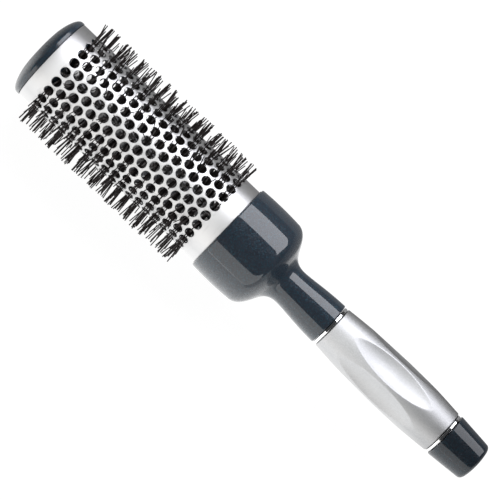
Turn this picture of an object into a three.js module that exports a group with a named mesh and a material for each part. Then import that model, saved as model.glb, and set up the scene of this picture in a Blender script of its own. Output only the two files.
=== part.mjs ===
// A round barrel brush for blow-drying: a perforated aluminium barrel, nylon filaments held in a
// twisted wire core, a glossy collar and neck, a sculpted silver grip between two chrome rings, and
// a tail cap that pulls out of the handle with a steel sectioning pin.
//
// Millimetres. The brush lies along X with +Z up. The origin is the centre of the flat land on the
// barrel's end cap, and +X runs along the axis to the tail of the handle. Every x below is a
// distance from that face. Angles about the axis are measured from +Z towards -Y.
import * as THREE from "three";

// ---- Driving dimensions ----
const LENGTH = 273.7;
const BARREL_R = 21.5;
const BARREL_WALL = 0.7;
const BRISTLE_R = 29.9;
const GAP = 0.3; // clearance between assembled pieces
const ROUND = 32; // sides of a large round piece
const SMALL_ROUND = 20; // sides of a small round piece

// ---- Stations along the axis ----
const SEAM_X = 6.5; // end cap to barrel
const COLLAR_X = 116.6; // front rim of the collar
const COLLAR_FLOOR_X = COLLAR_X + 12.2; // bottom of the cup that holds the barrel
const SHOULDER_X = 139.2; // where the collar starts to round in
const WAIST_X = 156.6; // thinnest place of the neck
const NECK_END_X = 180.7;
const GRIP_START_X = 182.7;
const GRIP_END_X = 251.7;
const TAIL_START_X = 253.8;

// ---- Vent holes: staggered rings ----
const RINGS = 18;
const HOLES_PER_RING = 23;
const FIRST_RING_X = SEAM_X + 10.2;
const RING_PITCH = 5.265;
const HOLE_PITCH = (2 * Math.PI) / HOLES_PER_RING;
const HOLE_PHASE = THREE.MathUtils.degToRad(4);
const HOLE_R = 2.69; // centre to corner of a square hole
const HOLE_SIDES = 4;

// ---- Twisted wire core ----
const WIRE_R = 0.95;
const WIRE_HELIX_R = 1.15;
const WIRE_TURN = 21; // axial length of one turn
const WIRE_START_X = 5.5;
const WIRE_END_X = 156.4;
const FERRULE_R = 3.2;
const FERRULE_BORE_R = 2.45;
const FERRULE_SEAT_R = FERRULE_R + 0.25;
const FERRULE_MARGIN = 0.9; // from the wires' ends to the ferrules' ends
const HUB_R = 3.4; // bundle of filament roots round the wires
const HUB_BORE_R = 2.6;

// ---- End cap ----
const BOSS_FLOOR_X = 4.2;
const BOSS_END_X = 13;
const SKIRT_END_X = 15;

// ---- Handle ----
const COLLAR_R = 23.3;
const WAIST_R = 9.4;
const NECK_MOUTH_R = 11.05;
const CORE_START_X = WIRE_END_X + 6.3; // tube through the handle
const CORE_END_X = TAIL_START_X + 4.4;
const CORE_R = 6.5;
const CORE_SEAT_R = CORE_R + GAP;
const PIN_BORE_R = 3.6;
const RING_R = 10.75;
const RING_WIDTH = 1.5;
const GRIP_R = 13.15; // ridges at the grip's widest place
const GRIP_WIDEST_X = 218.4;
const GRIP_CROWN = 0.0102; // how fast the grip narrows away from its widest place
const GRIP_CROWN_POWER = 1.5;

// ---- Thumb scoops round the grip ----
const SCOOPS = 6;
const SCOOP_X = 216.4;
const SCOOP_HALF_LENGTH = 23.6;
const SCOOP_DEPTH = 2.45;
const SCOOP_CUTTER_R = 15.8;
const SCOOP_TAPER = 1.3;

// ---- Sectioning pick ----
const TAIL_MOUTH_R = 11.45;
const TAIL_END_R = 10;
const TAIL_WALL = 2.1;
const TAIL_FLOOR_X = LENGTH - 9.1;
const STEM_START_X = TAIL_START_X - 9.5;
const STEM_R = 3.2;
const GROOVE_START_X = STEM_START_X + 4; // for the stem's O-ring
const GROOVE_WIDTH = 2;
const GROOVE_R = 2.55;
const PIN_R = 1.1;
const PIN_SEAT_R = PIN_R + GAP;
const PIN_TIP_X = CORE_START_X + 12.7;
const PIN_END_X = TAIL_FLOOR_X - 3;

const material = (color, roughness, metalness = 0) =>
  new THREE.MeshStandardMaterial({ color, roughness, metalness });
const navyPlastic = material(0x16263a, 0.08);
const aluminium = material(0xd4d6d8, 0.32, 1);
const chrome = material(0xeeeeee, 0.04, 1);
const silverPaint = material(0xb9bcbe, 0.34, 0.7);
const nylon = material(0x2a2020, 0.45);
const steel = material(0xb4b6b8, 0.25, 1);
const blackPlastic = material(0x1c1c1e, 0.5);
const rubber = material(0x141414, 0.8);

const brush = new THREE.Group();

function addPart(name, geometry, finish) {
  const mesh = new THREE.Mesh(geometry, finish);
  mesh.name = name;
  brush.add(mesh);
}

// Turns an outline of (radius, x) points round the X axis. The outside runs towards +X.
function turned(outline, sides = ROUND) {
  return new THREE.LatheGeometry(outline, sides).rotateZ(-Math.PI / 2);
}

// An outline from corner points, closed on itself unless it starts and ends on the axis.
function outlineOf(corners, closed = true) {
  const points = corners.map(([radius, x]) => new THREE.Vector2(radius, x));
  return closed ? [...points, points[0].clone()] : points;
}

function pointAt(radius, x, angle) {
  return [x, -radius * Math.sin(angle), radius * Math.cos(angle)];
}

function holeAngle(ring, hole) {
  return HOLE_PHASE + (hole + (ring % 2) / 2) * HOLE_PITCH;
}

const ringX = (ring) => FIRST_RING_X + ring * RING_PITCH;

// Collects points and faces by name, then makes one indexed geometry of them.
function surfaceBuilder() {
  const positions = [];
  const index = [];
  const named = new Map();
  return {
    point(key, position) {
      named.set(key, positions.length / 3);
      positions.push(...position);
    },
    face(...keys) {
      const [first, ...rest] = keys.map((key) => named.get(key));
      for (let i = 0; i + 1 < rest.length; i++) index.push(first, rest[i], rest[i + 1]);
    },
    geometry() {
      const made = new THREE.BufferGeometry();
      made.setAttribute("position", new THREE.Float32BufferAttribute(positions, 3));
      made.setIndex(index);
      made.computeVertexNormals();
      return made;
    },
  };
}

// The barrel: strips of metal join each hole's sides to its six neighbours. A hole has a corner
// towards the tail (0), one towards the next hole of its ring (1), and their opposites (2 and 3).
function perforatedBarrel() {
  const build = surfaceBuilder();
  const startX = SEAM_X + GAP;
  const endX = COLLAR_FLOOR_X - 0.7;
  const skins = { outer: BARREL_R, inner: BARREL_R - BARREL_WALL };
  const lastRing = RINGS - 1;
  const wrap = (hole) => (hole + HOLES_PER_RING) % HOLES_PER_RING;
  const corner = (ring, hole, k) => `${ring}/${wrap(hole)}/${k % HOLE_SIDES}`;
  const edge = (end, hole, k) => `${end}/${wrap(hole)}/${k}`;

  for (const [skin, radius] of Object.entries(skins)) {
    for (let hole = 0; hole < HOLES_PER_RING; hole++) {
      for (let ring = 0; ring < RINGS; ring++) {
        for (let k = 0; k < HOLE_SIDES; k++) {
          const turn = (k * Math.PI) / 2;
          const x = ringX(ring) + HOLE_R * Math.cos(turn);
          const angle = holeAngle(ring, hole) + (HOLE_R * Math.sin(turn)) / BARREL_R;
          build.point(skin + corner(ring, hole, k), pointAt(radius, x, angle));
        }
      }
      for (let k = 0; k < 2; k++) {
        const halfPitch = (k * HOLE_PITCH) / 2;
        const frontAngle = holeAngle(0, hole) + halfPitch;
        const rearAngle = holeAngle(lastRing, hole) + halfPitch;
        build.point(skin + edge("front", hole, k), pointAt(radius, startX, frontAngle));
        build.point(skin + edge("rear", hole, k), pointAt(radius, endX, rearAngle));
      }
    }
  }

  // A face of the outer skin, and the same face turned inwards on the inner skin.
  const sheet = (...keys) => {
    build.face(...keys.map((key) => "outer" + key));
    build.face(...keys.reverse().map((key) => "inner" + key));
  };
  const wall = (from, to) =>
    build.face("outer" + to, "outer" + from, "inner" + from, "inner" + to);

  for (let hole = 0; hole < HOLES_PER_RING; hole++) {
    for (let ring = 0; ring < RINGS; ring++) {
      const own = (k) => corner(ring, hole, k);
      for (let k = 0; k < HOLE_SIDES; k++) wall(own(k), own(k + 1));
      if (ring === lastRing) continue;
      const next = (k) => corner(ring, hole + 1, k);
      const ahead = (k) => corner(ring + 1, hole + (ring % 2), k);
      const behind = (k) => corner(ring + 1, hole + (ring % 2) - 1, k);
      sheet(own(1), ahead(2), ahead(3), own(0));
      sheet(own(0), behind(1), behind(2), own(3));
      sheet(own(0), ahead(3), behind(1));
      sheet(own(1), next(3), ahead(2));
    }
    const first = (k) => corner(0, hole, k);
    const firstNext = (k) => corner(0, hole + 1, k);
    const front = [0, 1].map((k) => edge("front", hole, k));
    const frontNext = edge("front", hole + 1, 0);
    sheet(front[0], front[1], first(1), first(2));
    sheet(front[1], firstNext(3), first(1));
    sheet(front[1], frontNext, firstNext(2), firstNext(3));
    wall(front[0], front[1]);
    wall(front[1], frontNext);

    const last = (k) => corner(lastRing, hole, k);
    const lastNext = (k) => corner(lastRing, hole + 1, k);
    const rear = [0, 1].map((k) => edge("rear", hole, k));
    const rearNext = edge("rear", hole + 1, 0);
    sheet(last(0), last(1), rear[1], rear[0]);
    sheet(last(1), lastNext(3), rear[1]);
    sheet(lastNext(3), lastNext(0), rearNext, rear[1]);
    wall(rear[1], rear[0]);
    wall(rearNext, rear[1]);
  }
  return build.geometry();
}

// The filaments: a bundle of roots round the wires, with one tapering tuft out through each hole.
function bristlePack() {
  const build = surfaceBuilder();
  const wrap = (hole) => (hole + HOLES_PER_RING) % HOLES_PER_RING;
  const root = (row, hole) => `root/${row}/${wrap(hole)}`;
  const bore = (end, hole) => `bore/${end}/${wrap(hole)}`;
  const rowX = (row) => ringX(row - 0.5);

  for (let hole = 0; hole < HOLES_PER_RING; hole++) {
    const angle = HOLE_PHASE + hole * HOLE_PITCH;
    for (let row = 0; row <= RINGS; row++)
      build.point(root(row, hole), pointAt(HUB_R, rowX(row), angle));
    build.point(bore("front", hole), pointAt(HUB_BORE_R, rowX(0), angle));
    build.point(bore("rear", hole), pointAt(HUB_BORE_R, rowX(RINGS), angle));
  }
  for (let hole = 0; hole < HOLES_PER_RING; hole++) {
    for (let ring = 0; ring < RINGS; ring++) {
      const tip = `tip/${ring}/${hole}`;
      build.point(tip, pointAt(BRISTLE_R, ringX(ring), holeAngle(ring, hole)));
      const base = [
        root(ring, hole),
        root(ring, hole + 1),
        root(ring + 1, hole + 1),
        root(ring + 1, hole),
      ];
      base.forEach((corner, k) => build.face(corner, base[(k + 1) % 4], tip));
    }
    build.face(
      bore("front", hole),
      bore("front", hole + 1),
      root(0, hole + 1),
      root(0, hole),
    );
    build.face(
      root(RINGS, hole),
      root(RINGS, hole + 1),
      bore("rear", hole + 1),
      bore("rear", hole),
    );
    build.face(
      bore("front", hole + 1),
      bore("front", hole),
      bore("rear", hole),
      bore("rear", hole + 1),
    );
  }
  return build.geometry();
}

class Helix extends THREE.Curve {
  constructor(phase) {
    super();
    this.phase = phase;
  }
  getPoint(t) {
    const x = WIRE_START_X + t * (WIRE_END_X - WIRE_START_X);
    const angle = this.phase + (2 * Math.PI * (x - WIRE_START_X)) / WIRE_TURN;
    return new THREE.Vector3(...pointAt(WIRE_HELIX_R, x, angle));
  }
}

function coreWire(phase) {
  const section = new THREE.Shape();
  section.absarc(0, 0, WIRE_R, 0, 2 * Math.PI);
  const turns = (WIRE_END_X - WIRE_START_X) / WIRE_TURN;
  return new THREE.ExtrudeGeometry(section, {
    extrudePath: new Helix(phase),
    steps: Math.round(turns * 6),
    curveSegments: 5,
  });
}

// Sleeve crimped round both wires.
function ferrule(startX, endX) {
  const corners = [
    [FERRULE_BORE_R, startX],
    [FERRULE_R, startX],
    [FERRULE_R, endX],
    [FERRULE_BORE_R, endX],
  ];
  return turned(outlineOf(corners), SMALL_ROUND);
}

// The cap: a shallow dome with a flat land, a skirt inside the barrel and a boss for the wire core.
function endCap() {
  const landR = 8;
  const rimR = BARREL_R + 0.25;
  const skirtR = BARREL_R - BARREL_WALL - GAP;
  const skirtBoreR = skirtR - 1.6;
  const bossR = 5;
  const edge = 0.15;
  const outside = new THREE.Path();
  outside.moveTo(0, 0);
  outside.lineTo(landR, 0);
  outside.bezierCurveTo(11.6, 0, 14.2, 0.6, 16.9, 1.5);
  outside.bezierCurveTo(19.4, 2.4, rimR, 3.6, rimR, SEAM_X - 1.1);
  outside.lineTo(rimR, SEAM_X - edge);
  outside.lineTo(rimR - edge, SEAM_X);
  const inside = [
    [skirtR, SEAM_X],
    [skirtR, SKIRT_END_X],
    [skirtBoreR, SKIRT_END_X],
    [skirtBoreR, 5.2],
    [14, 2.8],
    [bossR, 2],
    [bossR, BOSS_END_X],
    [FERRULE_SEAT_R, BOSS_END_X],
    [FERRULE_SEAT_R, BOSS_FLOOR_X],
    [0, BOSS_FLOOR_X],
  ];
  return turned([...outside.getPoints(4), ...outlineOf(inside, false)]);
}

// Disc in the barrel's rear mouth, with vents round a bore for the wires.
function barrelHub() {
  const vents = 6;
  const ventR = 4.2;
  const ventCircleR = 12;
  const disc = new THREE.Shape();
  disc.absarc(0, 0, BARREL_R - BARREL_WALL - GAP, 0, 2 * Math.PI);
  const bore = (centreR, angle, radius) => {
    const hole = new THREE.Path();
    const place = [centreR * Math.cos(angle), centreR * Math.sin(angle)];
    hole.absarc(...place, radius, 0, 2 * Math.PI, true);
    disc.holes.push(hole);
  };
  bore(0, 0, HUB_BORE_R);
  for (let i = 0; i < vents; i++) bore(ventCircleR, (i * 2 * Math.PI) / vents, ventR);
  const startX = COLLAR_X + 2;
  const made = new THREE.ExtrudeGeometry(disc, {
    depth: COLLAR_FLOOR_X - 1.2 - startX,
    bevelEnabled: false,
    curveSegments: 8,
  });
  return made.rotateY(Math.PI / 2).translate(startX, 0, 0);
}

// Collar and neck in one moulding: a cup over the barrel, a shoulder, a waist and a flare.
function handleCollar() {
  const cupR = BARREL_R + GAP;
  const ferruleFloorX = WIRE_END_X + 1;
  const tubeFloorX = CORE_START_X - GAP;
  const edge = 0.3;
  const lip = 1.2;
  const outside = new THREE.Path();
  outside.moveTo(COLLAR_R - edge, COLLAR_X);
  outside.lineTo(COLLAR_R, COLLAR_X + edge);
  outside.quadraticCurveTo(COLLAR_R + 0.7, SHOULDER_X - 10, COLLAR_R, SHOULDER_X);
  outside.bezierCurveTo(COLLAR_R, SHOULDER_X + 5.3, 17.9, SHOULDER_X + 7.8, 14.8, SHOULDER_X + 9.4);
  outside.bezierCurveTo(11.5, SHOULDER_X + 11, WAIST_R, WAIST_X - 4.6, WAIST_R, WAIST_X);
  outside.bezierCurveTo(WAIST_R, WAIST_X + 4.8, 10.85, NECK_END_X - 12, NECK_MOUTH_R, NECK_END_X - lip);
  outside.quadraticCurveTo(NECK_MOUTH_R, NECK_END_X, RING_R - 0.4, NECK_END_X);
  const front = [
    [0, ferruleFloorX],
    [FERRULE_SEAT_R, ferruleFloorX],
    [FERRULE_SEAT_R, COLLAR_FLOOR_X],
    [cupR, COLLAR_FLOOR_X],
    [cupR, COLLAR_X],
  ];
  const rear = [
    [CORE_SEAT_R, NECK_END_X],
    [CORE_SEAT_R, tubeFloorX],
    [0, tubeFloorX],
  ];
  return turned([
    ...outlineOf(front, false),
    ...outside.getPoints(5),
    ...outlineOf(rear, false),
  ]);
}

function trimRing(startX) {
  const bevel = 0.3;
  const corners = [
    [CORE_SEAT_R, startX],
    [RING_R - bevel, startX],
    [RING_R, startX + bevel],
    [RING_R, startX + RING_WIDTH - bevel],
    [RING_R - bevel, startX + RING_WIDTH],
    [CORE_SEAT_R, startX + RING_WIDTH],
  ];
  return turned(outlineOf(corners));
}

// Tube through the handle, closed at the neck and bored from the tail for the pin.
function handleCore() {
  const boreStartX = CORE_START_X + 6;
  const corners = [
    [0, CORE_START_X],
    [CORE_R, CORE_START_X],
    [CORE_R, CORE_END_X],
    [PIN_BORE_R, CORE_END_X],
    [PIN_BORE_R, boreStartX],
    [0, boreStartX],
  ];
  return turned(outlineOf(corners, false), SMALL_ROUND);
}

const gripRadius = (x) =>
  GRIP_R - GRIP_CROWN * Math.abs(x - GRIP_WIDEST_X) ** GRIP_CROWN_POWER;

// Radius of the grip's surface: the crowned body, cut by a round-bottomed scoop at each sixth turn.
function scoopedRadius(x, angle) {
  const body = gripRadius(x);
  const along = (x - SCOOP_X) / SCOOP_HALF_LENGTH;
  if (Math.abs(along) >= 1) return body;
  const floor = body - SCOOP_DEPTH * (1 - along ** 2) ** SCOOP_TAPER;
  const turn = (2 * Math.PI) / SCOOPS;
  const aside = angle - turn * Math.round(angle / turn);
  const centre = floor + SCOOP_CUTTER_R;
  const across = SCOOP_CUTTER_R ** 2 - (centre * Math.sin(aside)) ** 2;
  if (across <= 0) return body;
  return Math.min(body, centre * Math.cos(aside) - Math.sqrt(across));
}

function grip() {
  const stations = 16;
  const sides = 48;
  const corners = [[CORE_SEAT_R, GRIP_START_X]];
  for (let i = 0; i <= stations; i++) {
    const x = THREE.MathUtils.lerp(GRIP_START_X, GRIP_END_X, i / stations);
    corners.push([gripRadius(x), x]);
  }
  corners.push([CORE_SEAT_R, GRIP_END_X]);
  const made = turned(outlineOf(corners), sides);
  const place = made.getAttribute("position");
  for (let i = 0; i < place.count; i++) {
    const [x, y, z] = [place.getX(i), place.getY(i), place.getZ(i)];
    if (Math.hypot(y, z) < CORE_SEAT_R + 1) continue;
    const angle = Math.atan2(-y, z);
    place.setXYZ(i, ...pointAt(scoopedRadius(x, angle), x, angle));
  }
  made.computeVertexNormals();
  return made;
}

// Hexagonal nut on the handle tube's thread, under the tail cap.
function clampNut() {
  const nutR = 8.6;
  const hexagon = new THREE.Shape();
  hexagon.absarc(0, 0, nutR, 0, 2 * Math.PI);
  const thread = new THREE.Path();
  thread.absarc(0, 0, CORE_SEAT_R, 0, 2 * Math.PI, true);
  const outline = new THREE.Shape(hexagon.getSpacedPoints(6));
  outline.holes.push(thread);
  const made = new THREE.ExtrudeGeometry(outline, {
    depth: 3,
    bevelEnabled: false,
    curveSegments: 10,
  });
  return made.rotateY(Math.PI / 2).translate(TAIL_START_X + 0.1, 0, 0);
}

// Cap of the pick: a tapered shell with a stem that plugs into the handle tube.
function tailCap() {
  const shellR = TAIL_MOUTH_R - TAIL_WALL;
  const edge = 0.35;
  const outside = new THREE.Path();
  outside.moveTo(TAIL_MOUTH_R - edge, TAIL_START_X);
  outside.lineTo(TAIL_MOUTH_R, TAIL_START_X + edge);
  outside.lineTo(TAIL_END_R, LENGTH - 2.8);
  outside.quadraticCurveTo(TAIL_END_R - 0.2, LENGTH - 1.3, TAIL_END_R - 2, LENGTH - 0.9);
  outside.lineTo(TAIL_END_R / 2, LENGTH - 0.2);
  outside.lineTo(0, LENGTH);
  const inside = [
    [0, PIN_END_X + GAP],
    [PIN_SEAT_R, PIN_END_X + GAP],
    [PIN_SEAT_R, STEM_START_X],
    [STEM_R, STEM_START_X],
    [STEM_R, GROOVE_START_X],
    [GROOVE_R, GROOVE_START_X],
    [GROOVE_R, GROOVE_START_X + GROOVE_WIDTH],
    [STEM_R, GROOVE_START_X + GROOVE_WIDTH],
    [STEM_R, TAIL_FLOOR_X],
    [shellR - 0.5, TAIL_FLOOR_X],
    [shellR, TAIL_START_X],
  ];
  return turned([...outlineOf(inside, false), ...outside.getPoints(5)]);
}

function stemRing() {
  const sectionR = 0.38;
  const centreX = GROOVE_START_X + GROOVE_WIDTH / 2;
  const made = new THREE.TorusGeometry(GROOVE_R + 0.1 + sectionR, sectionR, 8, 24);
  return made.rotateY(Math.PI / 2).translate(centreX, 0, 0);
}

function pickPin() {
  const taper = 14;
  const tipR = 0.5;
  const outline = new THREE.Path();
  outline.moveTo(0, PIN_TIP_X);
  outline.absarc(0, PIN_TIP_X + tipR, tipR, -Math.PI / 2, 0);
  outline.lineTo(PIN_R, PIN_TIP_X + taper);
  outline.lineTo(PIN_R, PIN_END_X);
  outline.lineTo(0, PIN_END_X);
  return turned(outline.getPoints(4), 12);
}

// ---- Barrel ----
addPart("end_cap", endCap(), navyPlastic);
addPart("barrel", perforatedBarrel(), aluminium);
addPart("front_ferrule", ferrule(WIRE_START_X - FERRULE_MARGIN, BOSS_END_X), steel);
addPart("core_wire_a", coreWire(0), steel);
addPart("core_wire_b", coreWire(Math.PI), steel);
addPart("bristles", bristlePack(), nylon);
addPart("barrel_hub", barrelHub(), blackPlastic);
addPart("rear_ferrule", ferrule(COLLAR_FLOOR_X + 1, WIRE_END_X - FERRULE_MARGIN), steel);

// ---- Handle ----
addPart("handle_collar", handleCollar(), navyPlastic);
addPart("front_ring", trimRing(NECK_END_X + 0.25), chrome);
addPart("handle_core", handleCore(), blackPlastic);
addPart("grip", grip(), silverPaint);
addPart("rear_ring", trimRing(GRIP_END_X + 0.25), chrome);
addPart("clamp_nut", clampNut(), steel);

// ---- Pull-out sectioning pick ----
addPart("tail_cap", tailCap(), navyPlastic);
addPart("stem_o_ring", stemRing(), rubber);
addPart("pick_pin", pickPin(), steel);

export default brush;
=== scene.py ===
"""Looks for the round barrel brush. Lengths are millimetres until a mesh is made, then metres.

The brush lies along X from the end cap's face at x = 0. An angle round the axis is measured from +Z
towards -Y. The camera looks straight at the axis from CAMERA_ANGLE round it.
"""

import math
import random

import bpy
from mathutils import Matrix, Vector

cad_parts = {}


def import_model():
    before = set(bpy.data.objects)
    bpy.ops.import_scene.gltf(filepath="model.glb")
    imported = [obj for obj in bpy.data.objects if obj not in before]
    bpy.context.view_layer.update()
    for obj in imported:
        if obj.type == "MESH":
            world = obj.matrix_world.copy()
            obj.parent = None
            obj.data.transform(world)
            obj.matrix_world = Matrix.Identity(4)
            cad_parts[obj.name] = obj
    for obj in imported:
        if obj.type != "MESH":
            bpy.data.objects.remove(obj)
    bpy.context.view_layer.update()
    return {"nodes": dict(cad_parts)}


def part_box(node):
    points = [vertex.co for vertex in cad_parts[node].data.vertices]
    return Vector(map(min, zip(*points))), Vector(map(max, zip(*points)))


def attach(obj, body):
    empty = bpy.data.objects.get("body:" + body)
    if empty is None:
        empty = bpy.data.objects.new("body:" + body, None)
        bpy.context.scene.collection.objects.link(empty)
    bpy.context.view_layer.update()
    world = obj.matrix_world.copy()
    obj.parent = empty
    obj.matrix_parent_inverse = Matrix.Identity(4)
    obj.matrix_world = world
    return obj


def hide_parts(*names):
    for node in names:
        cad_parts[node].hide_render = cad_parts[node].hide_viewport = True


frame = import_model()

MM = 0.001
FINE = 160  # sides of a large turned piece
MEDIUM = 72  # sides of a small turned piece
BRUSH = "brush"
PICK = "sectioning_pick"

CAMERA_ANGLE = math.radians(19.5)
CAMERA_DISTANCE = 1400
CAMERA_FOOT = -3.3  # where the camera stands square to the axis, from the collar's rim
CAMERA_AIM = 14.9  # where it looks, from the collar's rim
CAMERA_AIM_ASIDE = 0.45
CAMERA_ROLL = math.radians(43.7)
SENSOR = 36
LENS = 221.8  # focal length


def span(node):
    """First x, last x and greatest radius of a CAD node, in millimetres."""
    low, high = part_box(node)
    return low.x / MM, high.x / MM, max(high.y, high.z) / MM


BARREL_START, BARREL_END, BARREL_R = span("barrel")
BARREL_WALL = 0.7


def point_at(radius, x, angle):
    """A point at a radius from the axis and an angle round it."""
    return (x, -radius * math.sin(angle), radius * math.cos(angle))


# ---- Mesh helpers ----


def piece(name, points, faces, finish, slot, body, stands_for=(), crease=32):
    """A smooth-shaded mesh of points in millimetres that rides on a body.

    Faces that meet at more than crease degrees keep a sharp edge. stands_for names the CAD nodes that
    it is shown in place of."""
    mesh = bpy.data.meshes.new(name)
    mesh.from_pydata([tuple(c * MM for c in p) for p in points], [], faces)
    mesh.validate()
    mesh.polygons.foreach_set("use_smooth", [True] * len(mesh.polygons))
    mesh.set_sharp_from_angle(angle=math.radians(crease))
    mesh.materials.append(finish)
    made = bpy.data.objects.new(name, mesh)
    bpy.context.scene.collection.objects.link(made)
    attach(made, body)
    if stands_for:
        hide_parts(*stands_for)
    return made


def turned(outline, sides=FINE):
    """Points and faces of an outline of (x, radius) turned round the X axis.

    The outline runs clockwise in a plot of radius over x, so that the faces look outwards. It
    closes on itself unless it starts and ends on the axis."""
    points, faces, rows = [], [], []
    for x, radius in outline:
        rows.append(len(points))
        if radius < 1e-6:
            points.append((x, 0, 0))
        else:
            turn = 2 * math.pi / sides
            points.extend(point_at(radius, x, k * turn) for k in range(sides))
    on_axis = outline[0][1] < 1e-6 and outline[-1][1] < 1e-6
    pairs = list(zip(range(len(outline)), range(1, len(outline))))
    if not on_axis:
        pairs.append((len(outline) - 1, 0))
    for a, b in pairs:
        for k in range(sides):
            after = (k + 1) % sides
            if outline[a][1] < 1e-6:
                faces.append((rows[a], rows[b] + after, rows[b] + k))
            elif outline[b][1] < 1e-6:
                faces.append((rows[a] + k, rows[a] + after, rows[b]))
            else:
                faces.append(
                    (rows[a] + k, rows[a] + after, rows[b] + after, rows[b] + k)
                )
    return points, faces


def filleted(corners, closed=True, steps=5):
    """An outline from corners of (x, radius, fillet), with an arc in place of each filleted corner."""
    outline = []
    count = len(corners)
    for i, (x, radius, fillet) in enumerate(corners):
        here = Vector((x, radius))
        if not fillet or (not closed and i in (0, count - 1)):
            outline.append((x, radius))
            continue
        before = (Vector(corners[i - 1][:2]) - here).normalized()
        after = (Vector(corners[(i + 1) % count][:2]) - here).normalized()
        half = math.acos(max(-1, min(1, before.dot(after)))) / 2
        start = here + before * fillet / math.tan(half)
        centre = here + (before + after).normalized() * fillet / math.sin(half)
        arm = start - centre
        end = here + after * fillet / math.tan(half) - centre
        sweep = arm.angle_signed(end)
        for k in range(steps + 1):
            turn = Matrix.Rotation(-sweep * k / steps, 2)
            outline.append(tuple(centre + turn @ arm))
    return outline


def bezier(a, b, c, d, steps=14):
    """Points of (x, radius) on a cubic curve, without its first point."""
    curve = []
    for k in range(1, steps + 1):
        t = k / steps
        s = 1 - t
        weights = (s**3, 3 * s * s * t, 3 * s * t * t, t**3)
        curve.append(
            tuple(sum(w * p[i] for w, p in zip(weights, (a, b, c, d))) for i in (0, 1))
        )
    return curve


def swept(path, radius, sides):
    """Points and faces of a round rod along a path of vectors, with flat ends."""
    points, faces = [], []
    side = None
    for i, here in enumerate(path):
        ahead = (path[min(i + 1, len(path) - 1)] - path[max(i - 1, 0)]).normalized()
        side = ahead.orthogonal() if side is None else side - ahead * side.dot(ahead)
        side.normalize()
        other = ahead.cross(side)
        for k in range(sides):
            turn = 2 * math.pi * k / sides
            offset = side * math.cos(turn) + other * math.sin(turn)
            points.append(tuple(here + offset * radius))
    for i in range(len(path) - 1):
        for k in range(sides):
            after = (k + 1) % sides
            a, b = i * sides, (i + 1) * sides
            faces.append((a + k, a + after, b + after, b + k))
    faces.append(tuple(reversed(range(sides))))
    last = (len(path) - 1) * sides
    faces.append(tuple(range(last, last + sides)))
    return points, faces


# ---- Material helpers ----


class Finish:
    """A node material. add() makes a node; a socket given as an input is linked, a number is set."""

    def __init__(self, name, **inputs):
        self.material = bpy.data.materials.new(name)
        self.material.use_nodes = True
        self.tree = self.material.node_tree
        self.shader = self.tree.nodes["Principled BSDF"]
        self.place = self.add("TexCoord").outputs["Object"]
        self.feed(self.shader, inputs)

    def feed(self, node, inputs):
        """Links or sets a node's inputs."""
        for key, value in inputs.items():
            socket = node.inputs[key]
            if isinstance(value, bpy.types.NodeSocket):
                self.tree.links.new(value, socket)
            else:
                socket.default_value = value

    def add(self, kind, settings=None, inputs=None):
        node = self.tree.nodes.new("ShaderNode" + kind)
        for key, value in (settings or {}).items():
            setattr(node, key, value)
        self.feed(node, inputs or {})
        return node

    def noise(self, size_mm, detail=2.0, stretch=(1, 1, 1)):
        """Noise whose features are about size_mm across, longer along an axis with a small stretch."""
        mapped = self.add("Mapping", None, {"Vector": self.place, "Scale": stretch})
        scale = 1 / (size_mm * MM)
        made = self.add(
            "TexNoise",
            None,
            {"Vector": mapped.outputs[0], "Scale": scale, "Detail": detail},
        )
        return made.outputs["Fac"]

    def between(self, value, low, high):
        """value taken from 0..1 to low..high."""
        made = self.add(
            "MapRange", None, {"Value": value, "To Min": low, "To Max": high}
        )
        return made.outputs[0]

    def ramp(self, value, low, high):
        """0 below low, 1 above high."""
        made = self.add(
            "MapRange", None, {"Value": value, "From Min": low, "From Max": high}
        )
        return made.outputs[0]

    def mix(self, factor, first, second):
        """A colour that goes from first to second as factor goes from 0 to 1."""
        made = self.add("Mix", {"data_type": "RGBA"})
        inputs = made.inputs
        for socket, value in zip((inputs[0], inputs[6], inputs[7]), (factor, first, second)):
            if isinstance(value, bpy.types.NodeSocket):
                self.tree.links.new(value, socket)
            else:
                socket.default_value = value
        return made.outputs[2]

    def bump(self, height, depth_mm, strength):
        """A normal tilted by a height that spans depth_mm from 0 to 1."""
        inputs = {"Height": height, "Distance": depth_mm * MM, "Strength": strength}
        return self.add("Bump", None, inputs).outputs[0]

    def stops(self, ramp, look):
        """Gives a colour ramp the shape of look, a row of (place, brightness) that ends brightest."""
        first, last = look[0][0], look[-1]
        elements = ramp.color_ramp.elements
        while len(elements) < len(look):
            elements.new(0.5)
        for element, (place, tone) in zip(elements, look):
            element.position = (place - first) / (last[0] - first)
            element.color = (tone / last[1],) * 3 + (1,)

    def satin_metal(self, colour, edge, roughness, normal):
        """Soft round gloss with no long tail of light. Its tone goes to edge where it turns away, a
        painted sheen towards the outline.
        """
        facing = self.add("LayerWeight", None, {"Blend": 0.5}).outputs["Facing"]
        colour = self.mix(self.ramp(facing, 0.42, 1.0), colour, (edge, edge, edge, 1))
        gloss = self.add(
            "BsdfAnisotropic",
            {"distribution": "BECKMANN"},
            {"Color": colour, "Roughness": roughness, "Normal": normal},
        )
        output = self.tree.nodes["Material Output"]
        self.tree.links.new(gloss.outputs[0], output.inputs["Surface"])
        self.tree.nodes.remove(self.shader)

    def set(self, **inputs):
        """Sets the main shader's inputs, with an underscore for each space in an input's name."""
        self.feed(self.shader, {k.replace("_", " "): v for k, v in inputs.items()})


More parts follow.
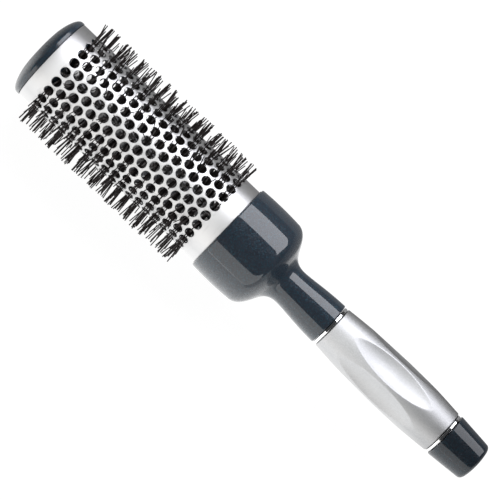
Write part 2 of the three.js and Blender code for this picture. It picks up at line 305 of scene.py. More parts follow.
def navy_flake(name, gloss):
    """Dark navy moulding with teal flakes under a clear skin, whose roughness is gloss."""
    finish = Finish(name)
    flakes = finish.add("TexVoronoi", None, {"Vector": finish.place, "Scale": 1 / (0.42 * MM)})
    parts = finish.add("SeparateColor", None, {"Color": flakes.outputs["Color"]})
    bright = finish.ramp(parts.outputs[0], 0.55, 1.0)
    clouds = finish.noise(5, 3)
    base = finish.mix(clouds, (0.016, 0.021, 0.030, 1), (0.021, 0.028, 0.038, 1))
    tilt = finish.add(
        "VectorMath",
        {"operation": "MULTIPLY_ADD"},
        {0: flakes.outputs["Color"], 1: (0.5, 0.5, 0.5), 2: (-0.25, -0.25, -0.25)},
    )
    surface = finish.add("NewGeometry").outputs["Normal"]
    tilted = finish.add("VectorMath", {"operation": "ADD"}, {0: surface, 1: tilt.outputs[0]})
    flat = finish.add("VectorMath", {"operation": "NORMALIZE"}, {0: tilted.outputs[0]})
    finish.set(
        Base_Color=finish.mix(bright, base, (0.019, 0.046, 0.064, 1)),
        Metallic=finish.between(bright, 0.0, 0.45),
        Roughness=finish.between(clouds, 0.42, 0.52),
        Specular_IOR_Level=0.1,
        Normal=flat.outputs[0],
        Coat_Weight=1.0,
        Coat_Roughness=finish.between(finish.noise(9, 3), gloss, gloss + 0.03),
        Coat_IOR=1.5,
        Coat_Normal=finish.bump(finish.noise(2.4, 1), 0.004, 0.12),
    )
    return finish.material


def brushed_aluminium():
    """Satin tube, finely brushed round the axis, with a few handling marks and a painted shade on its
    inside.
    """
    finish = Finish("brushed_aluminium")
    grain = finish.noise(0.12, 3, (1, 0.04, 0.04))
    scuffs = finish.ramp(finish.noise(2.0, 4, (1, 0.3, 0.3)), 0.58, 0.75)
    tone = finish.mix(finish.noise(14, 2), (0.43, 0.431, 0.432, 1), (0.48, 0.481, 0.482, 1))
    tone = finish.mix(scuffs, tone, (0.40, 0.40, 0.403, 1))
    # the tube's inside is painted a dark grey, a painted shade inside the tube; its outside keeps the
    # metal's tone
    across = finish.add("VectorMath", {"operation": "MULTIPLY"}, {0: finish.place, 1: (0, 1, 1)})
    radius = finish.add("VectorMath", {"operation": "LENGTH"}, {0: across.outputs[0]})
    skin = (BARREL_R - BARREL_WALL) * MM
    outer = finish.ramp(radius.outputs["Value"], skin + 0.1 * MM, skin + 0.3 * MM)
    finish.satin_metal(
        colour=finish.mix(outer, (0.13, 0.13, 0.135, 1), tone),
        # edge is the tone of a painted sheen towards the outline
        edge=0.85,
        roughness=finish.between(grain, 0.42, 0.52),
        normal=finish.bump(grain, 0.006, 0.4),
    )
    return finish.material


def silver_paint():
    """Satin silver paint with a fine metallic grain."""
    finish = Finish("silver_paint")
    flakes = finish.add("TexVoronoi", None, {"Vector": finish.place, "Scale": 1 / (0.16 * MM)})
    parts = finish.add("SeparateColor", None, {"Color": flakes.outputs["Color"]})
    worn = finish.noise(11, 4)
    finish.satin_metal(
        colour=finish.mix(parts.outputs[0], (0.34, 0.345, 0.35, 1), (0.44, 0.445, 0.45, 1)),
        # edge is the tone of a painted sheen towards the outline
        edge=0.65,
        roughness=finish.between(worn, 0.46, 0.53),
        normal=finish.bump(finish.noise(0.35, 2), 0.010, 0.4),
    )
    return finish.material


def chrome():
    """Bright plating with faint haze."""
    finish = Finish("chrome")
    haze = finish.noise(1.5, 3)
    finish.set(
        Base_Color=(0.88, 0.885, 0.89, 1),
        Metallic=1.0,
        Roughness=finish.between(haze, 0.03, 0.09),
    )
    return finish.material


def nylon():
    """Dark brown-black drawn filament."""
    finish = Finish("nylon")
    shade = finish.noise(2.5, 2)
    finish.set(
        Base_Color=finish.mix(shade, (0.010, 0.0075, 0.007, 1), (0.026, 0.018, 0.016, 1)),
        Roughness=finish.between(finish.noise(0.6, 2), 0.38, 0.55),
        Specular_IOR_Level=0.3,
        Normal=finish.bump(finish.noise(0.2, 1), 0.01, 0.3),
    )
    return finish.material


def steel(name, stretch, tone, low, high):
    """Drawn or turned steel, with its grain along the axes that have a small stretch.

    tone is the darker of its two greys, and its roughness runs from low to high."""

    def shade(times):
        return (times * tone, times * tone, (times + 0.02) * tone, 1)

    finish = Finish(name)
    grain = finish.noise(0.15, 3, stretch)
    finish.set(
        Base_Color=finish.mix(grain, shade(1.0), shade(1.3)),
        Metallic=1.0,
        Roughness=finish.between(grain, low, high),
        Normal=finish.bump(grain, 0.006, 0.5),
    )
    return finish.material


def moulded(name, tone, low, high, texture_mm):
    """Black moulded plastic or rubber with a fine spark texture. Its roughness runs from low to high."""
    finish = Finish(name)
    grain = finish.noise(texture_mm, 2)
    cloud = finish.noise(6, 2)
    finish.set(
        Base_Color=finish.mix(cloud, (*tone, 1), (*(1.6 * c for c in tone), 1)),
        Roughness=finish.between(grain, low, high),
        Normal=finish.bump(grain, 0.02, 0.4),
    )
    return finish.material


NAVY = navy_flake("navy_flake", gloss=0.02)
NAVY_SATIN = navy_flake("navy_flake_satin", gloss=0.14)
ALUMINIUM = brushed_aluminium()
SILVER = silver_paint()
CHROME = chrome()
NYLON = nylon()
# The wire's steel is toned far darker than the turned steel, a painted shade deep inside the tube.
DRAWN_STEEL = steel("drawn_steel", (0.05, 1, 1), tone=0.15, low=0.34, high=0.48)
TURNED_STEEL = steel("turned_steel", (1, 0.05, 0.05), tone=0.50, low=0.22, high=0.38)
BLACK_PLASTIC = moulded("black_plastic", (0.012, 0.012, 0.013), low=0.42, high=0.58, texture_mm=0.4)
RUBBER = moulded("rubber", (0.010, 0.010, 0.010), low=0.65, high=0.85, texture_mm=0.25)

# ---- Barrel ----

RINGS = 18
HOLES = 23
RING_PITCH = 5.265
HOLE_PHASE = math.radians(4)
HOLE_R = 2.33
STEPS = 8  # points round a hole's share of its ring; also along each side of its cell
FIRST_RING = BARREL_START + 9.9


def hole_angle(ring, hole):
    return HOLE_PHASE + (hole + (ring % 2) / 2) * 2 * math.pi / HOLES


def perforated_tube():
    """A tube of cells, one round hole in each. A cell's outer edge is shared with its neighbours."""
    around = HOLES * STEPS
    points, faces, known = [], [], {}

    def vertex(key, radius, x, angle):
        if key not in known:
            known[key] = len(points)
            points.append(point_at(radius, x, angle))
        return known[key]

    def seam(skin, radius, row, m, x):
        m %= around
        return vertex((skin, row, m), radius, x, HOLE_PHASE + m * 2 * math.pi / around)

    def cell_edge(skin, radius, ring, hole):
        """The cell's corner-to-corner loop, as (vertex, x offset, arc offset)."""
        middle = hole * STEPS + (ring % 2) * STEPS // 2
        low, high = middle - STEPS // 2, middle + STEPS // 2
        step = 2 * math.pi / around
        loop = []
        for k in range(STEPS):
            at = (low + k, -RING_PITCH / 2)
            loop.append((seam(skin, radius, ring, at[0], FIRST_RING + (ring - 0.5) * RING_PITCH), at))
        for k in range(STEPS):
            loop.append((side(skin, radius, ring, high, k), (high, (k / STEPS - 0.5) * RING_PITCH)))
        for k in range(STEPS):
            at = (high - k, RING_PITCH / 2)
            loop.append((seam(skin, radius, ring + 1, at[0], FIRST_RING + (ring + 0.5) * RING_PITCH), at))
        for k in range(STEPS):
            loop.append((side(skin, radius, ring, low, STEPS - k), (low, (0.5 - k / STEPS) * RING_PITCH)))
        return [(v, dx, (m - middle) * step * BARREL_R) for v, (m, dx) in loop]

    def side(skin, radius, ring, m, k):
        """Point k of the straight edge between two neighbours in a ring."""
        x = FIRST_RING + (ring - 0.5 + k / STEPS) * RING_PITCH
        if k in (0, STEPS):
            return seam(skin, radius, ring + k // STEPS, m, x)
        m %= around
        angle = HOLE_PHASE + m * 2 * math.pi / around
        return vertex((skin, "side", ring, m, k), radius, x, angle)

    inner_r = BARREL_R - BARREL_WALL
    lips = (  # radius of the hole, and of the tube there, from the outside in
        (HOLE_R + 0.20, BARREL_R),
        (HOLE_R + 0.11, BARREL_R - 0.015),
        (HOLE_R + 0.04, BARREL_R - 0.06),
        (HOLE_R, BARREL_R - 0.15),
        (HOLE_R, inner_r),
    )
    for ring in range(RINGS):
        x = FIRST_RING + ring * RING_PITCH
        for hole in range(HOLES):
            middle = hole_angle(ring, hole)
            outer = cell_edge("outer", BARREL_R, ring, hole)
            loops = [[v for v, _, _ in outer]]
            for n, (hole_r, tube_r) in enumerate(lips):
                loop = []
                for k, (_, dx, arc) in enumerate(outer):
                    size = math.hypot(dx, arc)
                    angle = middle + hole_r * arc / size / BARREL_R
                    place = x + hole_r * dx / size
                    loop.append(vertex(("lip", ring, hole, n, k), tube_r, place, angle))
                loops.append(loop)
            loops.append([v for v, _, _ in cell_edge("inner", inner_r, ring, hole)])
            for a, b in zip(loops, loops[1:]):
                for k in range(len(a)):
                    after = (k + 1) % len(a)
                    faces.append((a[k], a[after], b[after], b[k]))

    # plain bands at both ends, with a small rounded edge
    edge = 0.18
    for end, row, inwards in ((BARREL_START, 0, 1), (BARREL_END, RINGS, -1)):
        profile = (
            ("outer", 0, BARREL_R, end + inwards * edge),
            ("outer", 1, BARREL_R - edge * 0.3, end + inwards * edge * 0.3),
            ("outer", 2, BARREL_R - edge, end),
            ("inner", 2, inner_r + edge, end),
            ("inner", 0, inner_r, end + inwards * edge),
        )
        for m in range(around):
            columns = []
            for n in (m, m + 1):
                angle = HOLE_PHASE + (n % around) * 2 * math.pi / around
                column = [vertex(("outer", row, n % around), 0, 0, 0)]
                for skin, k, radius, at in profile:
                    key = (skin, "end", row, k, n % around)
                    column.append(vertex(key, radius, at, angle))
                column.append(vertex(("inner", row, n % around), 0, 0, 0))
                columns.append(column)
            here, there = columns
            for k in range(len(here) - 1):
                face = (here[k], here[k + 1], there[k + 1], there[k])
                faces.append(face if inwards > 0 else tuple(reversed(face)))
    return points, faces


piece(
    "perforated_barrel",
    *perforated_tube(),
    ALUMINIUM,
    "barrel_aluminium",
    BRUSH,
    ["barrel"],
)

# ---- Filaments ----

FILAMENT_R = 0.25
FILAMENT_SIDES = 8
TRIM_R = span("bristles")[2]
TRIM_OFFSET = 0.6  # how far the trimmed outline sits off the axis, square to the camera, towards -Y
ROOT_R = 2.3
HALFWAY_R = 12
TUFT_SIZES = (1, 2, 2, 2, 3, 3, 3, 3, 3, 4, 4, 4, 5)
SHORT_SHARE = 0.07  # of the filaments, cut well short of the trim
draw = random.Random(41)


def filament(ring, hole, lean_x, lean_around):
    """The path of one filament: out of the core, through its hole, to the trimmed tip."""
    middle = hole_angle(ring, hole)
    x = FIRST_RING + ring * RING_PITCH
    spread = (HOLE_R - 2 * FILAMENT_R) * math.sqrt(draw.random())  # even over the hole's area
    heading = draw.uniform(0, 2 * math.pi)
    in_hole = Vector((spread * math.cos(heading), spread * math.sin(heading)))
    past = TRIM_R - BARREL_R
    tilt = Vector((draw.gauss(lean_x, 0.06), draw.gauss(lean_around, 0.055)))
    tip = in_hole * 1.22 + tilt * past
    trim_r = TRIM_R + TRIM_OFFSET * math.sin(middle - CAMERA_ANGLE)
    ragged = abs(draw.gauss(0, 0.45))
    short = (draw.random() < SHORT_SHARE) * draw.uniform(0.8, 3)
    tip_r = trim_r - ragged - short
    # radius, and how far along and round the filament sits off its hole's middle there
    stations = (
        (ROOT_R, in_hole * 0.30),
        (HALFWAY_R, in_hole * 0.72),
        (BARREL_R, in_hole),
        (tip_r, tip),
    )
    path = []
    for (r0, at0), (r1, at1) in zip(stations, stations[1:]):
        count = 3 if r0 >= BARREL_R else 2
        for k in range(count):
            t = k / count
            path.append((r0 + (r1 - r0) * t, at0.lerp(at1, t)))
    path.append((tip_r, tip))
    line = []
    for radius, (dx, arc) in path:
        straight = Vector(point_at(radius, x + dx, middle))
        sideways = Vector((0, -math.cos(middle), -math.sin(middle)))
        line.append(straight + sideways * arc)
    return line


def filaments(rings):
    """Every filament of some rings of holes, a tuft to a hole that leans its own way."""
    points, faces = [], []
    for ring in rings:
        for hole in range(HOLES):
            lean_x, lean_around = draw.gauss(0, 0.035), draw.gauss(0, 0.03)
            for _ in range(draw.choice(TUFT_SIZES)):
                line = filament(ring, hole, lean_x, lean_around)
                more_points, more_faces = swept(line, FILAMENT_R, FILAMENT_SIDES)
                start = len(points)
                points.extend(more_points)
                faces.extend(tuple(v + start for v in face) for face in more_faces)
    return points, faces


for name, rings in (("front", range(0, 6)), ("middle", range(6, 12)), ("rear", range(12, RINGS))):
    stands_for = ["bristles"] if name == "front" else []
    piece(f"filaments_{name}", *filaments(rings), NYLON, "bristle_nylon", BRUSH, stands_for, 60)

# ---- Twisted wire core ----

WIRE_R = 0.95
WIRE_HELIX_R = 1.15
WIRE_TURN = 21  # length of one turn of the twist


def core_wire(phase):
    """One wire of the pair, twisted round the axis from a start angle."""
    start, end, _ = span("core_wire_a")
    steps = 220
    path = []
    for k in range(steps + 1):
        x = start + (end - start) * k / steps
        path.append(Vector(point_at(WIRE_HELIX_R, x, phase + 2 * math.pi * (x - start) / WIRE_TURN)))
    return swept(path, WIRE_R, 16)


piece("wire_a", *core_wire(0), DRAWN_STEEL, "hidden_steel", BRUSH, ["core_wire_a"], 50)
piece("wire_b", *core_wire(math.pi), DRAWN_STEEL, "hidden_steel", BRUSH, ["core_wire_b"], 50)

for node, finish in (
    ("front_ferrule", TURNED_STEEL),
    ("rear_ferrule", TURNED_STEEL),
    ("barrel_hub", BLACK_PLASTIC),
):
    frame["nodes"][node].data.materials.clear()
    frame["nodes"][node].data.materials.append(finish)

# ---- End cap ----


def end_cap():
    """A shallow dome round a flat land, a skirt inside the barrel and a boss for the wire core."""
    start, end, rim_r = span("end_cap")
    land_r = 8
    knee = (1.5, 16.9)  # where the dome starts to turn into the rim
    rim_x = 5.4
    seam = BARREL_START - 0.3
    skirt_r = BARREL_R - BARREL_WALL - 0.3
    skirt_inner_r = skirt_r - 1.6
    boss_end, boss_r, bore_r, bore_floor = 13, 5, 3.45, 4.2
    dome = [(start, 0), (start, land_r * 0.5), (start, land_r)]
    dome += bezier((start, land_r), (start, 11.6), (0.6, 14.2), knee)
    dome += bezier(knee, (2.4, 19.4), (3.6, rim_r), (rim_x, rim_r))
    rim = filleted(
        [(rim_x, rim_r, 0), (seam, rim_r, 0.22), (seam, skirt_r, 0), (end, skirt_r, 0.3)],
        closed=False,
    )
    inside = [
        (end, skirt_inner_r),
        (5.2, skirt_inner_r),
        (2.8, 14),
        (2, boss_r),
        (boss_end, boss_r),
        (boss_end, bore_r),
        (bore_floor, bore_r),
        (bore_floor, 0),
    ]
    return turned(dome + rim[1:] + inside)


piece("domed_end_cap", *end_cap(), NAVY_SATIN, "navy_gloss", BRUSH, ["end_cap"])

# ---- Collar and neck ----

SEAT_R = 6.8  # of every bore round the handle's tube
FERRULE_SEAT_R = 3.45


def collar_and_neck():
    """A cup over the barrel's rear end that runs through a shoulder and a waist to the neck's mouth."""
    start, end, _ = span("handle_collar")
    cup_r = BARREL_R + 0.3
    cup_floor = start + 12.2
    rim_r = 23.3
    crown_r = rim_r + 0.45  # that the cup's side is drawn towards, so that it swells a little
    mouth_r = 11.05
    waist_r = 9.42
    step = 0.35  # the mouth of the cup stands this far out of its rim
    lip = filleted(
        [
            (start, cup_r, 0),
            (start, cup_r + 0.4, 0.1),
            (start + step, cup_r + 0.4, 0),
            (start + step, rim_r, 0.7),
            (start + 2, rim_r, 0),
        ],
        closed=False,
    )
    shoulder = (start + 22.4, rim_r)
    slope = (start + 31.7, 14.8)
    waist = (start + 39.9, waist_r)
    flare = (end - 0.9, mouth_r)
    outside = lip[:-1]
    outside += bezier(lip[-2], (start + 7, crown_r), (start + 15, crown_r), shoulder)
    outside += bezier(shoulder, (start + 27.6, rim_r), (start + 30.1, 17.9), slope, 24)
    outside += bezier(slope, (start + 33.3, 11.5), (start + 35.2, waist_r), waist, 24)
    outside += bezier(waist, (start + 44.4, waist_r), (end - 11.8, 10.85), flare, 18)
    outside += filleted([flare + (0,), (end, mouth_r, 0.5), (end, SEAT_R, 0)], closed=False)[1:]
    ferrule_floor = span("core_wire_a")[1] + 1
    tube_floor = span("handle_core")[0] - 0.3
    front = [
        (ferrule_floor, 0),
        (ferrule_floor, FERRULE_SEAT_R),
        (cup_floor, FERRULE_SEAT_R),
        (cup_floor, cup_r),
    ]
    return turned(front + outside + [(tube_floor, SEAT_R), (tube_floor, 0)])


piece("collar", *collar_and_neck(), NAVY, "navy_gloss", BRUSH, ["handle_collar"])

# ---- Grip, trim rings and the parts under them ----

GRIP_START, GRIP_END, _ = span("grip")
SCOOPS = 6
SCOOP_MIDDLE = GRIP_START + 34.1
SCOOP_HALF_LENGTH = 23.6
SCOOP_DEPTH = 2.45
SCOOP_CUTTER_R = 15.8
SCOOP_TAPER = 1.3
GRIP_R = 13.15
GRIP_WIDEST = GRIP_START + 36.1
GRIP_CROWN = 0.0102
EDGE_SOFTNESS = 0.10


def grip_r(x, angle):
    """The crowned body, cut by a round-bottomed scoop at each sixth of a turn."""
    body = GRIP_R - GRIP_CROWN * abs(x - GRIP_WIDEST) ** 1.5
    along = (x - SCOOP_MIDDLE) / SCOOP_HALF_LENGTH
    if abs(along) >= 1:
        return body
    floor = body - SCOOP_DEPTH * (1 - along * along) ** SCOOP_TAPER
    turn = 2 * math.pi / SCOOPS
    aside = angle - turn * round(angle / turn)
    centre = floor + SCOOP_CUTTER_R
    across = SCOOP_CUTTER_R**2 - (centre * math.sin(aside)) ** 2
    if across <= 0:
        return body
    scoop = centre * math.cos(aside) - math.sqrt(across)
    # a soft minimum, so that the scoop's edge is a narrow round and not a knife edge
    gap = body - scoop
    return (body + scoop - math.sqrt(gap * gap + EDGE_SOFTNESS**2)) / 2


def grip():
    """Rows of points along the grip's length, with a rounded edge at both ends."""
    sides, stations, arc = 360, 200, 5
    soft = 0.45  # round on both end edges
    ends = []  # how far each edge row is from the end, and below the surface
    for k in range(arc + 1):
        turn = math.pi / 2 * k / arc
        ends.append((soft * (1 - math.cos(turn)), soft * (1 - math.sin(turn))))
    rows = [(GRIP_START + step, less) for step, less in ends]
    inner_length = GRIP_END - GRIP_START - 2 * soft
    for k in range(1, stations):
        rows.append((GRIP_START + soft + inner_length * k / stations, 0))
    rows += [(GRIP_END - step, less) for step, less in reversed(ends)]

    turns = [2 * math.pi * k / sides for k in range(sides)]
    points = [point_at(SEAT_R, GRIP_START, turn) for turn in turns]
    for x, less in rows:
        points += [point_at(grip_r(x, turn) - less, x, turn) for turn in turns]
    points += [point_at(SEAT_R, GRIP_END, turn) for turn in turns]
    faces = []
    loops = len(rows) + 2
    for i in range(loops):
        a, b = i * sides, (i + 1) % loops * sides
        for k in range(sides):
            after = (k + 1) % sides
            faces.append((a + k, a + after, b + after, b + k))
    return points, faces


piece("scooped_grip", *grip(), SILVER, "grip_silver", BRUSH, ["grip"], 50)


def trim_ring(node):
    start, end, radius = span(node)
    round_edge = 0.42
    return turned(
        filleted(
            [
                (start, SEAT_R, 0),
                (start, radius, round_edge),
                (end, radius, round_edge),
                (end, SEAT_R, 0),
            ]
        )
    )


piece("front_trim", *trim_ring("front_ring"), CHROME, "ring_chrome", BRUSH, ["front_ring"])
piece("rear_trim", *trim_ring("rear_ring"), CHROME, "ring_chrome", BRUSH, ["rear_ring"])


def core_tube():
    """The tube through the grip, with a floor at its front end and a bore for the pick."""
    start, end, radius = span("handle_core")
    bore = 3.6
    floor_x = start + 6
    corners = [
        (start, 0, 0),
        (start, radius, 0.4),
        (end, radius, 0.4),
        (end, bore, 0.3),
        (floor_x, bore, 0),
        (floor_x, 0, 0),
    ]
    return turned(filleted(corners, closed=False), MEDIUM)


piece("core_tube", *core_tube(), BLACK_PLASTIC, "hidden_plastic", BRUSH, ["handle_core"])


def clamp_nut():
    """A hexagonal nut with its corners turned off to a cone on both faces."""
    start, end, corner_r = span("clamp_nut")
    bore = SEAT_R
    sides = 96
    chamfer = 0.45
    flat_r = corner_r * math.cos(math.pi / 6)
    rows = (
        (start, bore, None),
        (start, None, flat_r),
        (start + chamfer, None, corner_r),
        (end - chamfer, None, corner_r),
        (end, None, flat_r),
        (end, bore, None),
    )
    points, faces = [], []
    for x, radius, limit in rows:
        for k in range(sides):
            angle = 2 * math.pi * k / sides
            aside = (angle % (math.pi / 3)) - math.pi / 6
            hexagon = flat_r / math.cos(aside)
            points.append(point_at(radius if radius else min(hexagon, limit), x, angle + math.pi / 2))
    for i in range(len(rows)):
        a, b = i * sides, (i + 1) % len(rows) * sides
        for k in range(sides):
            after = (k + 1) % sides
            faces.append((a + k, a + after, b + after, b + k))
    return points, faces


piece("hex_nut", *clamp_nut(), TURNED_STEEL, "hidden_steel", BRUSH, ["clamp_nut"])

# ---- Sectioning pick ----

STEM_R = 3.2
GROOVE_R = 2.55


def tail_cap():
    """A tapered cup with a domed end. Its stem has a groove for the rubber ring and a bore for the pin."""
    stem_start, end, mouth_r = span("tail_cap")
    pin_bore_r = 1.4
    mouth = stem_start + 9.5
    groove, groove_width = stem_start + 4, 2
    floor_x = end - 9.1
    bore_floor = span("pick_pin")[1] + 0.3
    shoulder = (end - 2.8, 9.98)
    edge = (end - 1.0, 8.2)
    bore = [(bore_floor, 0), (bore_floor, pin_bore_r), (stem_start, pin_bore_r)]
    stem = filleted(
        [
            (stem_start, pin_bore_r, 0),
            (stem_start, STEM_R, 0.4),
            (groove, STEM_R, 0),
            (groove, GROOVE_R, 0),
            (groove + groove_width, GROOVE_R, 0),
            (groove + groove_width, STEM_R, 0),
            (floor_x, STEM_R, 0),
            (floor_x, mouth_r - 2.6, 0),
            (mouth, mouth_r - 2.1, 0),
            (mouth, mouth_r, 0.4),
            shoulder + (0,),
        ],
        closed=False,
    )[1:-1]
    outside = bezier(stem[-1], (end - 13.5, 10.92), (end - 8, 10.46), shoulder, 8)
    outside += bezier(shoulder, (end - 1.9, 9.8), (end - 1.35, 9.1), edge, 12)
    outside += bezier(edge, (end - 0.45, 6.0), (end, 3.2), (end, 0), 10)
    return turned(bore + stem + outside)


piece("tapered_tail_cap", *tail_cap(), NAVY, "navy_gloss", PICK, ["tail_cap"])


def o_ring():
    """A ring with a round section."""
    start, end, outer_r = span("stem_o_ring")
    section_r = (end - start) / 2
    middle = ((start + end) / 2, outer_r - section_r)
    section_sides = 20
    outline = []
    for k in range(section_sides):
        turn = -2 * math.pi * k / section_sides
        outline.append((middle[0] + section_r * math.cos(turn), middle[1] + section_r * math.sin(turn)))
    return turned(outline, MEDIUM)


piece("o_ring", *o_ring(), RUBBER, "seal_rubber", PICK, ["stem_o_ring"], 60)


def pin():
    """A straight pin that tapers to a round tip."""
    start, end, radius = span("pick_pin")
    tip_r = 0.5
    taper = 14
    steps = 8
    outline = [(start, 0)]
    for k in range(1, steps + 1):
        turn = math.pi / 2 * k / steps
        outline.append((start + tip_r * (1 - math.cos(turn)), tip_r * math.sin(turn)))
    outline += [(start + taper, radius), (end, radius), (end, 0)]
    return turned(outline, 40)


piece("steel_pin", *pin(), TURNED_STEEL, "hidden_steel", PICK, ["pick_pin"])

# ---- Floor, light and camera ----

WHITE = (1, 1, 1)
COOL = (0.95, 0.95, 1.0)
WARM = (1.0, 0.98, 0.96)


def round_axis(angle):
    """Unit vector square to the brush's axis, at an angle from the camera towards -Y."""
    turn = CAMERA_ANGLE + angle
    return Vector((0, -math.sin(turn), math.cos(turn)))


def floor():
    """A square sheet of paper, 8 m wide, just under the filaments."""
    half = 4.0
    low = -(TRIM_R + 2.0) * MM
    mesh = bpy.data.meshes.new("floor")
    corners = [(-half, -half, low), (half, -half, low), (half, half, low), (-half, half, low)]
    mesh.from_pydata(corners, [], [(0, 1, 2, 3)])
    made = bpy.data.objects.new("floor", mesh)
    bpy.context.scene.collection.objects.link(made)
    mesh.materials.append(pale_floor())


# How bright the paper's painted glow looks to the brush, in steps of (place, brightness). The place is 1
# for paper out on the -Y side, square to the camera's line of sight, and falls below 0 on the +Y side.
FLOOR_LOOK = (
    (-0.10, 0.20),
    (0.00, 0.28),
    (0.05, 0.48),
    (0.12, 0.85),
    (0.20, 1.00),
    (0.35, 1.18),
    (0.60, 1.45),
    (1.00, 1.85),
)


def pale_floor():
    """White paper that glows, which the camera sees plain apart from a painted shade under the barrel.

    The brush sees its painted glow brightest on the -Y side, and beside the neck."""
    finish = Finish("pale_floor")
    incoming = finish.add("NewGeometry").outputs["Incoming"]
    x, y, _ = finish.add("SeparateXYZ", None, {0: finish.place}).outputs

    def combine(operation, first, second):
        return finish.add("Math", {"operation": operation}, {0: first, 1: second}).outputs[0]

    def stretched(value, start, end, low=0.0, high=1.0):
        """Runs from low at start to high at end."""
        inputs = {"Value": value, "From Min": start, "From Max": end, "To Min": low, "To Max": high}
        return finish.add("MapRange", None, inputs).outputs[0]

    # painted glow on the paper under the neck and on its -Y side, bright from wherever the brush sees it
    behind = stretched(y, 36 * MM, 46 * MM, 1.0, 0.0)
    beside = stretched(x, 200 * MM, 250 * MM, 1.0, 0.0)
    beyond = stretched(x, 110 * MM, 140 * MM)
    bounce = combine("MULTIPLY", combine("MULTIPLY", behind, beside), beyond)
    bounce = combine("MULTIPLY", bounce, 1.1)

    # the paper's painted glow at large, darker past the tail
    square = (0, math.cos(CAMERA_ANGLE), math.sin(CAMERA_ANGLE))
    facing = finish.add("VectorMath", {"operation": "DOT_PRODUCT"}, {0: incoming, 1: square})
    place = stretched(facing.outputs["Value"], FLOOR_LOOK[0][0], 1.0)
    curve = finish.add("ValToRGB", None, {0: place})
    finish.stops(curve, FLOOR_LOOK)
    bright = combine("MULTIPLY", curve.outputs[0], FLOOR_LOOK[-1][1])
    bright = combine("MULTIPLY", bright, stretched(x, 240 * MM, 270 * MM, 1.0, 0.62))
    seen = combine("MAXIMUM", bright, bounce)

    # a painted shade under the barrel, which shows through its holes
    near_edge = stretched(y, -11.8 * MM, -9.3 * MM, 0.0, 0.92)
    far_edge = stretched(y, 13 * MM, 20 * MM, 1.0, 0.0)
    shade = combine("MULTIPLY", near_edge, far_edge)
    middle = (BARREL_START + BARREL_END) / 2 * MM
    reach = (BARREL_END - BARREL_START) / 2 * MM
    off_middle = combine("ABSOLUTE", combine("SUBTRACT", x, middle), 0.0)
    shade = combine("MULTIPLY", shade, stretched(off_middle, reach - 8 * MM, reach, 1.0, 0.0))
    paper = combine("MULTIPLY", combine("SUBTRACT", 1.0, shade), 0.97)

    rays = finish.add("LightPath")
    strength = finish.add("Mix", None, {0: rays.outputs["Is Camera Ray"], 2: seen, 3: paper})
    finish.set(
        Base_Color=(0.08, 0.08, 0.08, 1),
        Roughness=1.0,
        Specular_IOR_Level=0.0,
        Emission_Color=(1, 1, 1, 1),
        Emission_Strength=strength.outputs[0],
    )
    finish.material.cycles.emission_sampling = "NONE"
    return finish.material


def softbox(name, low, high, x_range, radiance, lit, tint=WHITE, distance=0.9):
    """A long lamp beside the brush that lights only the pieces named in lit.

    Seen from the brush's axis it fills the angles from low to high, in degrees from the camera
    towards -Y. It spans x_range, in metres like its distance."""
    middle = math.radians((low + high) / 2)
    half = math.radians((high - low) / 2)
    lamp = bpy.data.lights.new(name, "AREA")
    lamp.shape = "RECTANGLE"
    lamp.size = x_range[1] - x_range[0]
    lamp.size_y = 2 * distance * math.tan(half)
    lamp.energy = radiance * math.pi * lamp.size * lamp.size_y
    lamp.color = tint
    made = bpy.data.objects.new(name, lamp)
    bpy.context.scene.collection.objects.link(made)
    away = round_axis(middle)
    along = Vector((1, 0, 0))
    turn = Matrix((along, away.cross(along), away)).transposed()
    place = away * distance + along * (x_range[0] + x_range[1]) / 2
    made.matrix_world = Matrix.Translation(place) @ turn.to_4x4()
    made.visible_camera = False
    group = bpy.data.collections.new(name + "_lit")
    for each in lit:
        group.objects.link(bpy.data.objects[each])
    made.light_linking.receiver_collection = group


def world():
    """A pale backdrop for the camera, and a dim room for everything else."""
    made = bpy.data.worlds.new("studio")
    bpy.context.scene.world = made
    made.use_nodes = True
    tree = made.node_tree
    background = tree.nodes["Background"]
    rays = tree.nodes.new("ShaderNodeLightPath")
    tone = tree.nodes.new("ShaderNodeMapRange")
    tone.inputs["To Min"].default_value = 0.05
    tone.inputs["To Max"].default_value = 1.0
    tree.links.new(rays.outputs["Is Camera Ray"], tone.inputs["Value"])
    tree.links.new(tone.outputs[0], background.inputs["Strength"])
    background.inputs["Color"].default_value = (0.95, 0.97, 1.0, 1)


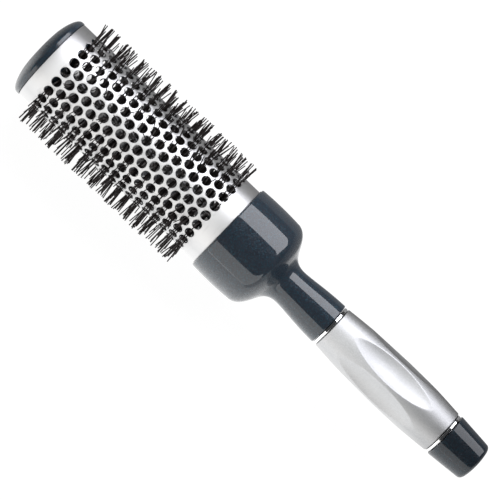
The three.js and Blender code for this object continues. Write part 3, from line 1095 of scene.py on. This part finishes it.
def camera():
    """A long lens square to the brush's axis near the collar, turned so that the brush lies aslant."""
    lens = bpy.data.cameras.new("camera")
    lens.sensor_width = SENSOR
    lens.lens = LENS
    lens.clip_end = 20
    made = bpy.data.objects.new("camera", lens)
    bpy.context.scene.collection.objects.link(made)
    away = round_axis(0)
    up = Vector((0, math.cos(CAMERA_ANGLE), math.sin(CAMERA_ANGLE)))
    rim = Vector((span("handle_collar")[0], 0, 0))
    along = Vector((1, 0, 0))
    stand = (rim + along * CAMERA_FOOT + away * CAMERA_DISTANCE) * MM
    aim = (rim + along * CAMERA_AIM - up * CAMERA_AIM_ASIDE) * MM
    back = (stand - aim).normalized()
    across = up.cross(back).normalized()
    upright = back.cross(across)
    right = across * math.cos(CAMERA_ROLL) + upright * math.sin(CAMERA_ROLL)
    top = upright * math.cos(CAMERA_ROLL) - across * math.sin(CAMERA_ROLL)
    turn = Matrix((right, top, back)).transposed().to_4x4()
    made.matrix_world = Matrix.Translation(stand) @ turn
    bpy.context.scene.camera = made


floor()

BARREL = ("perforated_barrel",)
GRIP = ("scooped_grip",)
TAIL = ("rear_trim", "tapered_tail_cap")
FRONT = [each.name for each in bpy.data.objects if each.type == "MESH" and each.name not in GRIP + TAIL]
FRONT_BUT_BARREL = [name for name in FRONT if name not in BARREL]

softbox("strip", -80, -36, (-0.45, 0.95), 5.3, FRONT_BUT_BARREL, COOL)
softbox("strip_barrel", -75, -36, (-0.45, 0.95), 5.3, BARREL, COOL)
softbox("strip_inner", -81, -36, (-0.45, 0.28), 4.4, GRIP, COOL)
softbox("strip_outer", -81, -36, (0.28, 0.75), 3.0, GRIP, COOL)
softbox("strip_tail", -92, -44, (-0.3, 0.75), 3.0, TAIL, COOL)
softbox("wide_fill", 38, 72, (-0.5, 2.4), 2.0, FRONT, WARM)
softbox("wide_fill_inner", 38, 78, (-0.6, 0.26), 1.9, GRIP + TAIL, WARM)
softbox("wide_fill_outer", 38, 78, (0.26, 1.6), 1.2, GRIP + TAIL, WARM)
softbox("front_fill", -35, 36, (-0.5, 0.29), 2.2, BARREL + GRIP)
softbox("back_fill_barrel", -112, -94, (-0.5, 0.6), 0.8, BARREL)
softbox("back_fill_grip", -112, -94, (-0.5, 0.6), 1.1, GRIP)
softbox("cap_fill", -62, 32, (-0.95, -0.5), 1.3, ["domed_end_cap"], distance=0.2)
world()
camera()
bpy.context.scene.view_settings.view_transform = "Standard"
